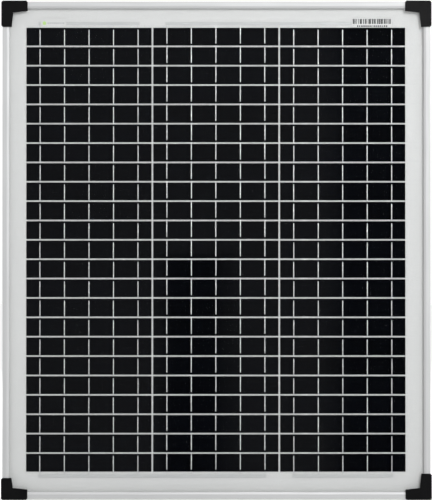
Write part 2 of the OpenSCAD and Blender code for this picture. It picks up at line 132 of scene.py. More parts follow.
def coat(thing, material):
    """Gives a piece or a CAD node its one material."""
    thing.data.materials.clear()
    thing.data.materials.append(material)


def smooth(mesh, angle=32):
    """Smooth faces, with creases where they meet at more than the angle."""
    mesh.polygons.foreach_set("use_smooth", [True] * len(mesh.polygons))
    mesh.set_sharp_from_angle(angle=math.radians(angle))


def flattened(piece):
    """Applies a piece's modifiers, so that it is a plain mesh."""
    graph = bpy.context.evaluated_depsgraph_get()
    mesh = bpy.data.meshes.new_from_object(piece.evaluated_get(graph))
    piece.modifiers.clear()
    piece.data = mesh
    return piece


def new_piece(name, mesh):
    """An object for a mesh, put in the scene at the origin."""
    piece = bpy.data.objects.new(name, mesh)
    bpy.context.scene.collection.objects.link(piece)
    return piece


def stands_for(piece, node, body="panel"):
    """Shows a piece in a CAD node's place."""
    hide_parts(node)
    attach(piece, body)


def softened(node, radius, material, body="panel", segments=2):
    """A copy of a CAD node with its sharp edges rounded, which is shown in the node's place."""
    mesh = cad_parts[node].data.copy()
    shape = bmesh.new()
    shape.from_mesh(mesh)
    bmesh.ops.remove_doubles(shape, verts=shape.verts, dist=weld_reach)
    bmesh.ops.dissolve_limit(shape, angle_limit=math.radians(1), verts=shape.verts,
                             edges=shape.edges)
    shape.to_mesh(mesh)
    shape.free()
    smooth(mesh)
    piece = new_piece(node + "_finished", mesh)
    bevel = piece.modifiers.new("rounded edges", "BEVEL")
    bevel.width = radius
    bevel.segments = segments
    bevel.limit_method = "ANGLE"
    bevel.angle_limit = math.radians(40)
    bevel.use_clamp_overlap = True
    bevel.harden_normals = True
    flattened(piece)
    coat(piece, material)
    stands_for(piece, node, body)
    return piece


def anodised(name, along):
    """Satin anodised aluminium, with die lines that run along one axis."""
    material, tree, shader = new_material(name, Metallic=1.0)
    squeeze = [1.0, 1.0, 1.0]
    squeeze[along] = 0.015
    lines = grain(tree, 900, squeeze)
    clouds = grain(tree, 14)
    tree.links.new(mixed(tree, clouds, rail_silver, rail_silver_worn), shader.inputs["Base Color"])
    tree.links.new(between(tree, lines, 0.60, 0.70), shader.inputs["Roughness"])
    raised(tree, shader, lines, 0.00002, 0.5)
    return material


anodised_upright = anodised("anodised_upright", along=2)
anodised_level = anodised("anodised_level", along=0)
for side in ("left", "right"):
    softened("frame_rail_" + side, rail_edge, anodised_upright)
for side in ("top", "bottom"):
    softened("frame_rail_" + side, rail_edge, anodised_level)


# ---------------------------------------------------------------- corner keys
# Die-cast aluminium angles pressed into the rails' chambers, which hold the mitres shut.
# Their skin is dull and slightly pitted, as cast.

cast_grey = (0.50, 0.51, 0.52, 1)
cast_grey_dark = (0.38, 0.39, 0.40, 1)
corners = [end + "_" + side for end in ("top", "bottom") for side in ("left", "right")]

cast_metal, tree, shader = new_material("cast_metal", Metallic=1.0)
pits = grain(tree, 700)
tree.links.new(mixed(tree, pits, cast_grey_dark, cast_grey), shader.inputs["Base Color"])
tree.links.new(between(tree, pits, 0.7, 0.5), shader.inputs["Roughness"])
raised(tree, shader, pits, 0.0001)
for corner in corners:
    coat(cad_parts["corner_key_" + corner], cast_metal)


# ---------------------------------------------------------------- corner caps
# Black polypropylene mouldings that snap over the mitres and cover the sharp corners.
# The mould is spark-eroded, so the skin is a fine satin grain, paler where it rubs.

cap_edge = 0.0007
cap_black = (0.0010, 0.0010, 0.0013, 1)
cap_rubbed = (0.0030, 0.0030, 0.0034, 1)


def moulded(name, dark, pale, rough=(0.42, 0.54)):
    """Moulded plastic with a spark-eroded grain and soft clouds of rubbing."""
    material, tree, shader = new_material(name, Specular_IOR_Level=0.09)
    skin = grain(tree, 2600, detail=2.0)
    clouds = grain(tree, 60)
    tree.links.new(mixed(tree, clouds, dark, pale), shader.inputs["Base Color"])
    tree.links.new(between(tree, clouds, *rough), shader.inputs["Roughness"])
    raised(tree, shader, skin, 0.00005, 0.6)
    return material


cap_plastic = moulded("cap_plastic", cap_black, cap_rubbed)
for corner in corners:
    softened("corner_cap_" + corner, cap_edge, cap_plastic, segments=3)


# ---------------------------------------------------------------- edge tape
# Closed-cell foam tape, folded round the edge of the laminate before it slides into the
# rails' channel. Only its cut edge shows, deep under the lip.

foam_white = (0.82, 0.82, 0.81, 1)
foam_pore = (0.66, 0.66, 0.65, 1)
edge_foam, tree, shader = new_material("edge_foam", Roughness=0.9)
pores = grain(tree, 1800, detail=1.0)
tree.links.new(mixed(tree, pores, foam_pore, foam_white), shader.inputs["Base Color"])
raised(tree, shader, pores, 0.0001)
coat(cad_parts["edge_seal"], edge_foam)


# ---------------------------------------------------------------- glass
# One pane of low-iron tempered glass with ground edges. Tempering leaves a very slight wave
# in it. Lamps shine straight through to the cells and the white sheet behind.

glass_edge = 0.0005
glass_tint = (0.975, 0.99, 0.985, 1)
solar_glass, tree, shader = new_material(
    "solar_glass", Base_Color=glass_tint, Roughness=0.0, IOR=1.45, Transmission_Weight=1.0)
wave = grain(tree, 9, detail=1.0)
raised(tree, shader, wave, 0.00002, 0.3)
clear = tree.nodes.new("ShaderNodeBsdfTransparent")
lamp_ray = tree.nodes.new("ShaderNodeLightPath")
split = tree.nodes.new("ShaderNodeMixShader")
tree.links.new(lamp_ray.outputs["Is Shadow Ray"], split.inputs["Fac"])
tree.links.new(shader.outputs["BSDF"], split.inputs[1])
tree.links.new(clear.outputs["BSDF"], split.inputs[2])
tree.links.new(split.outputs["Shader"], tree.nodes["Material Output"].inputs["Surface"])
pane = softened("front_glass", glass_edge, solar_glass)
pane.visible_shadow = False
pane.visible_diffuse = False


# ---------------------------------------------------------------- encapsulant
# Two sheets of clear film that melt round the cells and glue the laminate together.
# They are almost invisible once cured.

film_gap = 0.00001
film_haze = (0.93, 0.93, 0.92, 1)
film_haze_warm = (0.90, 0.90, 0.87, 1)
encapsulant, tree, shader = new_material("encapsulant", Roughness=0.4, Alpha=0.0004)
tree.links.new(mixed(tree, grain(tree, 30), film_haze, film_haze_warm),
               shader.inputs["Base Color"])


def clear_film(node):
    """A film whose faces lie a hair clear of the glass, the cells and the sheet they touch."""
    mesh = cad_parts[node].data.copy()
    glass_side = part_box(node)[0].y + film_gap
    for vertex in mesh.vertices:
        vertex.co.y += film_gap if vertex.co.y < glass_side else -film_gap
    piece = new_piece(node + "_finished", mesh)
    coat(piece, encapsulant)
    piece.visible_shadow = False
    piece.visible_diffuse = False
    stands_for(piece, node)


for side in ("front", "rear"):
    clear_film(side + "_encapsulant")


# ---------------------------------------------------------------- cell strips
# Mono silicon wafers, cut into sevenths by laser. Each strip is nearly black with a blue
# cast, carries fine printed silver fingers across it, and differs a little from its neighbours.

strip_rows = 23
strip_gap = 0.00203
finger_pitch = 0.0016
finger_share = 0.05
silicon_dark = (0.0002, 0.0003, 0.0007, 1)
silicon_pale = (0.0005, 0.0008, 0.0017, 1)
finger_silver = (0.012, 0.014, 0.018, 1)
columns = ("left", "middle", "right")

block_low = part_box("cell_string_left")[0]
block_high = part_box("cell_string_right")[1]
strip_pitch = (block_high.z - block_low.z + strip_gap) / strip_rows
strip_high = strip_pitch - strip_gap
column_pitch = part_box("cell_string_middle")[0].x - block_low.x


def math_node(tree, operation, first, second=None):
    """One sum on a value: the second value is a plain number."""
    node = tree.nodes.new("ShaderNodeMath")
    node.operation = operation
    tree.links.new(first, node.inputs[0])
    if second is not None:
        node.inputs[1].default_value = second
    return node.outputs["Value"]


def silicon_material():
    """Dark silicon, a little different on each strip, under a comb of printed fingers."""
    material, tree, shader = new_material("silicon", Roughness=0.32, Specular_IOR_Level=0.005)
    axes = tree.nodes.new("ShaderNodeSeparateXYZ")
    tree.links.new(place(tree), axes.inputs["Vector"])
    above = math_node(tree, "SUBTRACT", axes.outputs["Z"], block_low.z)
    across = math_node(tree, "SUBTRACT", axes.outputs["X"], block_low.x)
    row = math_node(tree, "FLOOR", math_node(tree, "DIVIDE", above, strip_pitch))
    column = math_node(tree, "FLOOR", math_node(tree, "DIVIDE", across, column_pitch))
    pair = tree.nodes.new("ShaderNodeCombineXYZ")
    tree.links.new(row, pair.inputs["X"])
    tree.links.new(column, pair.inputs["Y"])
    lot = tree.nodes.new("ShaderNodeTexWhiteNoise")
    tree.links.new(pair.outputs["Vector"], lot.inputs["Vector"])
    wafer = mixed(tree, lot.outputs["Value"], silicon_dark, silicon_pale)
    saw_marks = between(tree, grain(tree, 260, (1, 1, 0.05)), 0.0, 0.35)
    wafer = mixed(tree, saw_marks, wafer, silicon_pale)
    phase = math_node(tree, "FRACT", math_node(tree, "DIVIDE", above, finger_pitch))
    finger = math_node(tree, "LESS_THAN", phase, finger_share)
    tree.links.new(mixed(tree, finger, wafer, finger_silver), shader.inputs["Base Color"])
    raised(tree, shader, finger, 0.00001)
    return material


silicon = silicon_material()


def group_with(name, **sizes):
    """A Geometry Nodes tree with named inputs for its sizes, ready for its nodes."""
    tree = bpy.data.node_groups.new(name, "GeometryNodeTree")
    tree.interface.new_socket("Geometry", in_out="INPUT", socket_type="NodeSocketGeometry")
    for label, value in sizes.items():
        kind = "NodeSocketInt" if isinstance(value, int) else "NodeSocketFloat"
        socket = tree.interface.new_socket(label.replace("_", " "), in_out="INPUT",
                                           socket_type=kind)
        socket.default_value = value
    tree.interface.new_socket("Finish", in_out="INPUT", socket_type="NodeSocketMaterial")
    tree.interface.new_socket("Geometry", in_out="OUTPUT", socket_type="NodeSocketGeometry")
    return tree, tree.nodes.new("NodeGroupInput"), tree.nodes.new("NodeGroupOutput")


def finish_group(tree, given, result, geometry):
    """Ends a tree in real geometry with its material set."""
    real = tree.nodes.new("GeometryNodeRealizeInstances")
    finish = tree.nodes.new("GeometryNodeSetMaterial")
    tree.links.new(geometry, real.inputs["Geometry"])
    tree.links.new(real.outputs["Geometry"], finish.inputs["Geometry"])
    tree.links.new(given.outputs["Finish"], finish.inputs["Material"])
    tree.links.new(finish.outputs["Geometry"], result.inputs["Geometry"])


def offset_along(tree, given, label, axis):
    """A vector of one named input along one axis."""
    offset = tree.nodes.new("ShaderNodeCombineXYZ")
    tree.links.new(given.outputs[label], offset.inputs[axis])
    return offset.outputs["Vector"]


def repeated_grid_group():
    """Copies its own mesh across and down, each copy a little out of place."""
    tree, given, result = group_with(
        "repeated grid", Across=1, Down=1, Pitch_across=0.0, Pitch_down=0.0, Stray=0.0, Seed=1)
    lines = []
    for count, pitch, axis in (("Across", "Pitch across", "X"), ("Down", "Pitch down", "Z")):
        line = tree.nodes.new("GeometryNodeMeshLine")
        tree.links.new(given.outputs[count], line.inputs["Count"])
        tree.links.new(offset_along(tree, given, pitch, axis), line.inputs["Offset"])
        lines.append(line.outputs["Mesh"])
    grid = tree.nodes.new("GeometryNodeInstanceOnPoints")
    tree.links.new(lines[0], grid.inputs["Points"])
    tree.links.new(lines[1], grid.inputs["Instance"])
    points = tree.nodes.new("GeometryNodeRealizeInstances")
    tree.links.new(grid.outputs["Instances"], points.inputs["Geometry"])
    stray = tree.nodes.new("FunctionNodeRandomValue")
    stray.data_type = "FLOAT"
    tree.links.new(given.outputs["Stray"], stray.inputs[3])
    tree.links.new(math_node(tree, "MULTIPLY", given.outputs["Stray"], -1.0),
                   stray.inputs[2])
    tree.links.new(given.outputs["Seed"], stray.inputs["Seed"])
    shift = tree.nodes.new("ShaderNodeCombineXYZ")
    tree.links.new(stray.outputs[1], shift.inputs["X"])
    moved = tree.nodes.new("GeometryNodeSetPosition")
    tree.links.new(points.outputs["Geometry"], moved.inputs["Geometry"])
    tree.links.new(shift.outputs["Vector"], moved.inputs["Offset"])
    copies = tree.nodes.new("GeometryNodeInstanceOnPoints")
    tree.links.new(moved.outputs["Geometry"], copies.inputs["Points"])
    tree.links.new(given.outputs["Geometry"], copies.inputs["Instance"])
    finish_group(tree, given, result, copies.outputs["Instances"])
    return tree


repeated_grid = repeated_grid_group()


def grown(name, mesh, group, material, **sizes):
    """A plain mesh made by a Geometry Nodes tree from a first mesh and named sizes."""
    piece = new_piece(name, mesh)
    nodes = piece.modifiers.new("repeat", "NODES")
    nodes.node_group = group
    sockets = {item.name: item.identifier for item in group.interface.items_tree
               if item.in_out == "INPUT"}
    for label, value in sizes.items():
        nodes[sockets[label.replace("_", " ")]] = value
    nodes[sockets["Finish"]] = material
    flattened(piece)
    coat(piece, material)
    return piece


def block_mesh(name, low, high):
    """A closed block between two corners."""
    mesh = bpy.data.meshes.new(name)
    shape = bmesh.new()
    cube = bmesh.ops.create_cube(shape, size=1.0)["verts"]
    low, high = Vector(low), Vector(high)
    for corner in cube:
        corner.co = [(low[i] + high[i]) / 2 + corner.co[i] * (high[i] - low[i]) for i in range(3)]
    shape.to_mesh(mesh)
    shape.free()
    return mesh


for column in columns:
    low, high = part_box("cell_string_" + column)
    strip = block_mesh("strip", (low.x, low.y, high.z - strip_high), (high.x, high.y, high.z))
    stands_for(grown("cell_strips_" + column, strip, repeated_grid, silicon,
                     Across=1, Down=strip_rows, Pitch_down=-strip_pitch),
               "cell_string_" + column)


# ---------------------------------------------------------------- ribbons
# Flat tinned copper, soldered along the front of one strip and the back of the next. The
# front end starts a little inside the strip and tapers where it was snipped. Each is laid by
# a machine to within a tenth of a millimetre or so.

ribbons_across = 5
ribbon_wide = 0.0012
ribbon_thick = 0.0002
ribbon_start = 0.0023
ribbon_tip = 0.0011
ribbon_bend = 0.0004
ribbon_stray = 0.00012
snipped_share = 0.45
flat_share = 0.55
shoulder_share = 0.4
bus_past = 0.0075
tin_bright = (0.56, 0.56, 0.56, 1)
tin_dull = (0.46, 0.465, 0.47, 1)

tinned_ribbon, tree, shader = new_material("tinned_ribbon", Metallic=0.55)
solder = grain(tree, 500, (1, 1, 0.2))
tree.links.new(mixed(tree, solder, tin_dull, tin_bright), shader.inputs["Base Color"])
tree.links.new(between(tree, solder, 0.62, 0.48), shader.inputs["Roughness"])
raised(tree, shader, solder, 0.00004, 0.5)


def ribbon_mesh(name, stations, flip=1):
    """A ribbon along its stations: height, depth of its front face, and half its width."""
    mesh = bpy.data.meshes.new(name)
    shape = bmesh.new()
    rings = []
    for z, front, half in stations:
        rear = front + ribbon_thick
        shoulder = front + ribbon_thick * shoulder_share
        flat = half * flat_share
        rings.append([shape.verts.new(point) for point in (
            (-half, rear, z), (-half, shoulder, z), (-flat, front, z),
            (flat, front, z), (half, shoulder, z), (half, rear, z))])
    corners_round = len(rings[0])
    for first, second in zip(rings, rings[1:]):
        for i in range(corners_round):
            j = (i + 1) % corners_round
            shape.faces.new((first[i], first[j], second[j], second[i]))
    shape.faces.new(rings[0])
    shape.faces.new(rings[-1])
    for vertex in shape.verts:
        vertex.co.z *= flip
    bmesh.ops.recalc_face_normals(shape, faces=shape.faces)
    shape.to_mesh(mesh)
    shape.free()
    smooth(mesh, 60)
    return mesh


def joined(name, parts, material):
    """Several finished meshes as one piece."""
    shape = bmesh.new()
    for part in parts:
        shape.from_mesh(part.data)
        bpy.data.objects.remove(part)
    mesh = bpy.data.meshes.new(name)
    shape.to_mesh(mesh)
    shape.free()
    piece = new_piece(name, mesh)
    coat(piece, material)
    return piece


def moved_mesh(mesh, x, z):
    """A mesh moved across and up, so that its object can stay at the origin."""
    for vertex in mesh.vertices:
        vertex.co.x += x
        vertex.co.z += z
    return mesh


def ribbon_column(index, column):
    """Every ribbon of one column; the middle column's current runs up, so it is upside down."""
    node = "ribbons_" + column
    low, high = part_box(node)
    front, rear = low.y, high.y - ribbon_thick
    half = ribbon_wide / 2
    flip = -1 if column == "middle" else 1
    middle_z = (block_low.z + block_high.z) / 2
    start = flip * (block_high.z - middle_z)
    edge = -strip_high
    over = [(-ribbon_start, front, half * snipped_share),
            (-ribbon_start - ribbon_tip, front, half),
            (edge + ribbon_bend, front, half), (edge - strip_gap, rear, half)]
    behind = over + [(edge - strip_gap - strip_high + ribbon_start, rear, half)]
    to_bus = over + [(edge - bus_past, rear, half)]
    tail = [(bus_past, rear, half), (edge + ribbon_start, rear, half)]
    first_x = low.x + half
    pitch = (high.x - low.x - ribbon_wide) / (ribbons_across - 1)
    parts = []
    for label, stations, first_row, count in (
            ("tail", tail, 0, 1), ("behind", behind, 0, strip_rows - 1),
            ("to_bus", to_bus, strip_rows - 1, 1)):
        mesh = ribbon_mesh(label, stations, flip)
        moved_mesh(mesh, first_x, middle_z + start - flip * first_row * strip_pitch)
        parts.append(grown(label, mesh, repeated_grid, tinned_ribbon, Across=ribbons_across,
                           Down=count, Pitch_across=pitch, Pitch_down=-flip * strip_pitch,
                           Stray=ribbon_stray, Seed=10 * index + len(parts)))
    stands_for(joined("ribbon_set_" + column, parts, tinned_ribbon), node)


for index, column in enumerate(columns):
    ribbon_column(index, column)


# ---------------------------------------------------------------- bus ribbons and leads
# Wider tinned copper along the ends of the columns, and the leads behind the cells that
# bring both ends and the tap to the junction box. It is left matt so that it doesn't glare.

bus_edge = 0.00006
bus_pale = (0.47, 0.475, 0.48, 1)
bus_dull = (0.42, 0.425, 0.43, 1)
tinned_bus, tree, shader = new_material("tinned_bus", Metallic=0.1, Specular_IOR_Level=0.2)
solder = grain(tree, 400, (0.2, 1, 1))
tree.links.new(mixed(tree, solder, bus_dull, bus_pale), shader.inputs["Base Color"])
tree.links.new(between(tree, solder, 0.6, 0.45), shader.inputs["Roughness"])
raised(tree, shader, solder, 0.00003, 0.5)
for end in ("top", "bottom"):
    softened(end + "_bus_ribbons", bus_edge, tinned_bus, segments=1)
coat(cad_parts["output_leads"], tinned_ribbon)


# ---------------------------------------------------------------- films and rear sheet
# White polyester films: one between the leads and the cells, and the tough sheet that closes
# the back. The laminator presses the cells' outlines very faintly into it.

sheet_white = (0.54, 0.54, 0.54, 1)
sheet_white_low = (0.515, 0.515, 0.515, 1)


def combined(tree, operation, first, second):
    """One sum on two values, both of them linked."""
    value = math_node(tree, operation, first)
    tree.links.new(second, value.node.inputs[1])
    return value


def white_film(name, depth):
    """White film with a soft press texture, and the cells' outlines pressed into it."""
    material, tree, shader = new_material(name, Roughness=0.55)
    clouds = grain(tree, 7)
    fine = grain(tree, 1500, detail=2.0)
    tree.links.new(mixed(tree, clouds, sheet_white, sheet_white_low), shader.inputs["Base Color"])
    axes = tree.nodes.new("ShaderNodeSeparateXYZ")
    tree.links.new(place(tree), axes.inputs["Vector"])
    above = math_node(tree, "SUBTRACT", axes.outputs["Z"], block_low.z)
    phase = math_node(tree, "FRACT", math_node(tree, "DIVIDE", above, strip_pitch))
    strip = math_node(tree, "LESS_THAN", phase, strip_high / strip_pitch)
    inside = math_node(tree, "COMPARE", axes.outputs["Z"], (block_low.z + block_high.z) / 2)
    inside.node.inputs[2].default_value = (block_high.z - block_low.z) / 2
    pressed = combined(tree, "MULTIPLY", strip, inside)
    raised(tree, shader, combined(tree, "ADD", fine, pressed), depth, 0.6)
    return material


rear_sheet = white_film("rear_sheet", 0.00005)
coat(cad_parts["rear_sheet"], rear_sheet)
coat(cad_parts["lead_insulation"], rear_sheet)


# ---------------------------------------------------------------- printed strips and label
# Thin printed films laid in above the cells, and the rating label on the back. They carry
# plain marks only: a disc and bars, bars and dashes, and ruled lines.

printed_white = (0.535, 0.535, 0.535, 1)
printed_white_low = (0.515, 0.515, 0.515, 1)
ink_proud = 0.00002
ink_clear = 0.00001
ink_black = (0.02, 0.02, 0.022, 1)
ink_grey = (0.30, 0.31, 0.32, 1)
ink_green = (0.33, 0.50, 0.16, 1)
label_silver = (0.62, 0.63, 0.64, 1)
label_silver_low = (0.55, 0.56, 0.57, 1)


def ink(name, colour):
    """Screen-printed ink, a little thinner in places."""
    material, tree, shader = new_material(name, Roughness=0.5)
    thin = tuple(min(1.0, value * 1.25 + 0.01) for value in colour[:3]) + (1,)
    tree.links.new(mixed(tree, grain(tree, 900), colour, thin), shader.inputs["Base Color"])
    return material


def printed_marks_group():
    """A row of marks, each its own mesh stretched across by a random amount."""
    tree, given, result = group_with("printed marks", Count=10, Pitch_across=0.0,
                                     Pitch_down=0.0, Thinnest=1.0, Widest=1.0, Seed=1)
    step = tree.nodes.new("ShaderNodeCombineXYZ")
    tree.links.new(given.outputs["Pitch across"], step.inputs["X"])
    tree.links.new(given.outputs["Pitch down"], step.inputs["Z"])
    line = tree.nodes.new("GeometryNodeMeshLine")
    tree.links.new(given.outputs["Count"], line.inputs["Count"])
    tree.links.new(step.outputs["Vector"], line.inputs["Offset"])
    width = tree.nodes.new("FunctionNodeRandomValue")
    width.data_type = "FLOAT"
    tree.links.new(given.outputs["Thinnest"], width.inputs[2])
    tree.links.new(given.outputs["Widest"], width.inputs[3])
    tree.links.new(given.outputs["Seed"], width.inputs["Seed"])
    stretch = tree.nodes.new("ShaderNodeCombineXYZ")
    stretch.inputs["Y"].default_value = 1.0
    stretch.inputs["Z"].default_value = 1.0
    tree.links.new(width.outputs[1], stretch.inputs["X"])
    marks = tree.nodes.new("GeometryNodeInstanceOnPoints")
    tree.links.new(line.outputs["Mesh"], marks.inputs["Points"])
    tree.links.new(given.outputs["Geometry"], marks.inputs["Instance"])
    tree.links.new(stretch.outputs["Vector"], marks.inputs["Scale"])
    finish_group(tree, given, result, marks.outputs["Instances"])
    return tree


printed_marks = printed_marks_group()


def marks(name, at, size, y, material, slot, **sizes):
    """Marks from a point (x, z), each a block of the given size before it is stretched. One with
    a width below zero runs the other way, as on the back."""
    start, end = sorted((0, size[0]))
    mesh = block_mesh(name, (start, y[0], -size[1] / 2), (end, y[1], size[1] / 2))
    piece = grown(name, mesh, printed_marks, material, **sizes)
    moved_mesh(piece.data, at[0], at[1])
    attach(piece, "panel")
    return piece


def bare_film(node, material, back=False):
    """A printed film, thinner than its CAD node so that its ink stays clear of the glass."""
    low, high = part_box(node)
    if back:
        high.y -= ink_proud + ink_clear
        ink_y = (high.y, high.y + ink_proud)
    else:
        low.y += ink_proud + ink_clear
        ink_y = (low.y - ink_proud, low.y)
    piece = new_piece(node + "_film", block_mesh(node, low, high))
    coat(piece, material)
    stands_for(piece, node)
    return low, high, ink_y


printed_film, tree, shader = new_material("printed_film", Roughness=0.55)
tree.links.new(mixed(tree, grain(tree, 40), printed_white, printed_white_low),
               shader.inputs["Base Color"])
black_ink = ink("black_ink", ink_black)
low, high, ink_y = bare_film("serial_strip", printed_film)
bar_wide = 0.0007
bar_high = 0.0063
bar_pitch = 0.0022
bars_in = 0.001
bars_down = 0.0003
bar_count = int((high.x - low.x - 2 * bars_in) / bar_pitch)
marks("serial_bars", (low.x + bars_in, high.z - bars_down - bar_high / 2), (bar_wide, bar_high),
      ink_y, black_ink, "printed_film", Count=bar_count, Pitch_across=bar_pitch, Thinnest=1.1,
      Widest=3.0, Seed=7)
dash_wide = 0.0009
dash_high = 0.0022
dashes_in = 0.0065
dashes_up = 0.0018
marks("serial_dashes", (low.x + dashes_in, low.z + dashes_up), (dash_wide, dash_high), ink_y,
      black_ink, "printed_film", Count=15, Pitch_across=0.0026, Thinnest=1.1, Widest=2.2,
      Seed=11)

low, high, ink_y = bare_film("maker_strip", printed_film)
maker_bar_wide = 0.0009
maker_bar_high = 0.0021
maker_bars_in = 0.0085
disc_in = 0.0045
disc_radius = 0.0023
strip_middle = (low.z + high.z) / 2
marks("maker_bars", (low.x + maker_bars_in, strip_middle), (maker_bar_wide, maker_bar_high),
      ink_y, ink("grey_ink", ink_grey), "printed_film", Count=8, Pitch_across=0.0027,
      Thinnest=1.2, Widest=2.0, Seed=3)


def disc_mesh(name, centre, radius, y, sides=32):
    """A thin disc that faces the front or the back."""
    mesh = bpy.data.meshes.new(name)
    shape = bmesh.new()
    rims = [[shape.verts.new((centre[0] + radius * math.cos(turn * math.tau / sides), depth,
                              centre[1] + radius * math.sin(turn * math.tau / sides)))
             for turn in range(sides)] for depth in y]
    for i in range(sides):
        j = (i + 1) % sides
        shape.faces.new((rims[0][i], rims[0][j], rims[1][j], rims[1][i]))
    for rim in rims:
        shape.faces.new(rim)
    bmesh.ops.recalc_face_normals(shape, faces=shape.faces)
    shape.to_mesh(mesh)
    shape.free()
    return mesh


disc_shape = disc_mesh("maker_disc", (low.x + disc_in, strip_middle), disc_radius, ink_y)
disc = new_piece("maker_disc", disc_shape)
coat(disc, ink("green_ink", ink_green))
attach(disc, "panel")

label_paper, tree, shader = new_material("label_paper", Metallic=0.3, Roughness=0.45)
tree.links.new(mixed(tree, grain(tree, 600, (0.05, 1, 1)), label_silver, label_silver_low),
               shader.inputs["Base Color"])
low, high, ink_y = bare_film("rating_label", label_paper, back=True)
row_unit = 0.001
row_high = 0.0014
row_pitch = 0.0068
rows_down = 0.0125
label_margin = 0.006
values_in = 0.070
rule_long = 0.108
rule_high = 0.0006
rule_down = 0.007
for label, x, shortest, longest, seed in (("names", label_margin, 14.0, 30.0, 5),
                                          ("values", values_in, 10.0, 24.0, 9)):
    marks("label_" + label, (high.x - x, high.z - rows_down), (-row_unit, row_high), ink_y,
          black_ink, "label_paper", Count=9, Pitch_down=-row_pitch, Thinnest=shortest,
          Widest=longest, Seed=seed)
marks("label_rule", (low.x + label_margin, high.z - rule_down), (rule_long, rule_high), ink_y,
      black_ink, "label_paper", Count=1)


# ---------------------------------------------------------------- junction box
# A black moulded tray, glued to the rear sheet with white silicone, under a lid that hangs
# on two steel pins along its top edge. Snap arms at the bottom hold the lid down.

box_edge = 0.0005
box_black = (0.012, 0.012, 0.013, 1)
box_rubbed = (0.022, 0.022, 0.024, 1)
knuckle_proud = 0.0008
rib_high = 0.0005
rib_sunk = 0.0003
rib_wide = 0.0022
rib_half = 0.036
ribs_below = 0.004
rib_count = 7
rib_pitch = 0.0065
rib_edge = 0.0002

box_plastic = moulded("box_plastic", box_black, box_rubbed)
softened("junction_box_base", box_edge, box_plastic)
softened("junction_box_lid", box_edge, box_plastic, body="lid")

low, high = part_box("junction_box_lid")
lid_face = high.y - knuckle_proud
rib = block_mesh("rib", (-rib_half, lid_face - rib_sunk, -rib_wide / 2),
                 (rib_half, lid_face + rib_high, rib_wide / 2))
moved_mesh(rib, 0, (low.z + high.z) / 2 + rib_pitch * (rib_count - 1) / 2 - ribs_below)
ribs = grown("lid_ribs", rib, repeated_grid, box_plastic, Across=1, Down=rib_count,
             Pitch_down=-rib_pitch)
rounding = ribs.modifiers.new("rounded edges", "BEVEL")
rounding.width = rib_edge
rounding.segments = 2
flattened(ribs)
smooth(ribs.data)
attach(ribs, "lid")

silicone_white = (0.74, 0.74, 0.71, 1)
silicone_aged = (0.66, 0.66, 0.61, 1)
white_silicone, tree, shader = new_material("white_silicone", Roughness=0.4)
tree.links.new(mixed(tree, grain(tree, 120), silicone_white, silicone_aged),
               shader.inputs["Base Color"])
raised(tree, shader, grain(tree, 300), 0.0002)
coat(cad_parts["junction_box_adhesive"], white_silicone)

gasket_edge = 0.0003
rubber_black = (0.016, 0.016, 0.017, 1)
rubber_bloom = (0.04, 0.04, 0.042, 1)
black_rubber = moulded("black_rubber", rubber_black, rubber_bloom, rough=(0.6, 0.8))
softened("junction_box_gasket", gasket_edge, black_rubber)

vent_edge = 0.0004
vent_black = (0.05, 0.05, 0.055, 1)
vent_pale = (0.08, 0.08, 0.085, 1)
softened("vent_plug", vent_edge, moulded("vent_plastic", vent_black, vent_pale))

pin_edge = 0.0002
zinc_pale = (0.66, 0.67, 0.68, 1)
zinc_dull = (0.50, 0.51, 0.53, 1)
zinc_steel, tree, shader = new_material("zinc_steel", Metallic=1.0)
plating = grain(tree, 350)
tree.links.new(mixed(tree, plating, zinc_dull, zinc_pale), shader.inputs["Base Color"])
tree.links.new(between(tree, plating, 0.42, 0.28), shader.inputs["Roughness"])
softened("lid_hinge_pins", pin_edge, zinc_steel)


# ---------------------------------------------------------------- terminals and diodes
# Inside the box, tinned strips take the three leads. Brass clamps with slotted screws grip
# the cable ends, and a moulded diode bridges each pair of strips.

clamp_edge = 0.0003
plate_edge = 0.00015
brass_pale = (0.78, 0.60, 0.28, 1)
brass_dull = (0.60, 0.44, 0.18, 1)
clamp_brass, tree, shader = new_material("clamp_brass", Metallic=1.0)
turning = grain(tree, 800, (1, 0.1, 1))
tree.links.new(mixed(tree, turning, brass_dull, brass_pale), shader.inputs["Base Color"])
tree.links.new(between(tree, turning, 0.4, 0.25), shader.inputs["Roughness"])
softened("terminal_clamps", clamp_edge, clamp_brass)
softened("terminal_screws", plate_edge, zinc_steel)
softened("terminal_plates", plate_edge, tinned_ribbon)


def turned_mesh(name, profile, sides=24):
    """A lathe-turned solid about the X axis from (x, radius) points that start and end at 0."""
    mesh = bpy.data.meshes.new(name)
    shape = bmesh.new()
    points = [shape.verts.new((x, 0, radius)) for x, radius in profile]
    edges = [shape.edges.new(pair) for pair in zip(points, points[1:])]
    bmesh.ops.spin(shape, geom=points + edges, cent=(0, 0, 0), axis=(1, 0, 0),
                   angle=math.tau, steps=sides)
    bmesh.ops.remove_doubles(shape, verts=shape.verts, dist=weld_reach)
    bmesh.ops.recalc_face_normals(shape, faces=shape.faces)
    shape.to_mesh(mesh)
    shape.free()
    smooth(mesh)
    return mesh


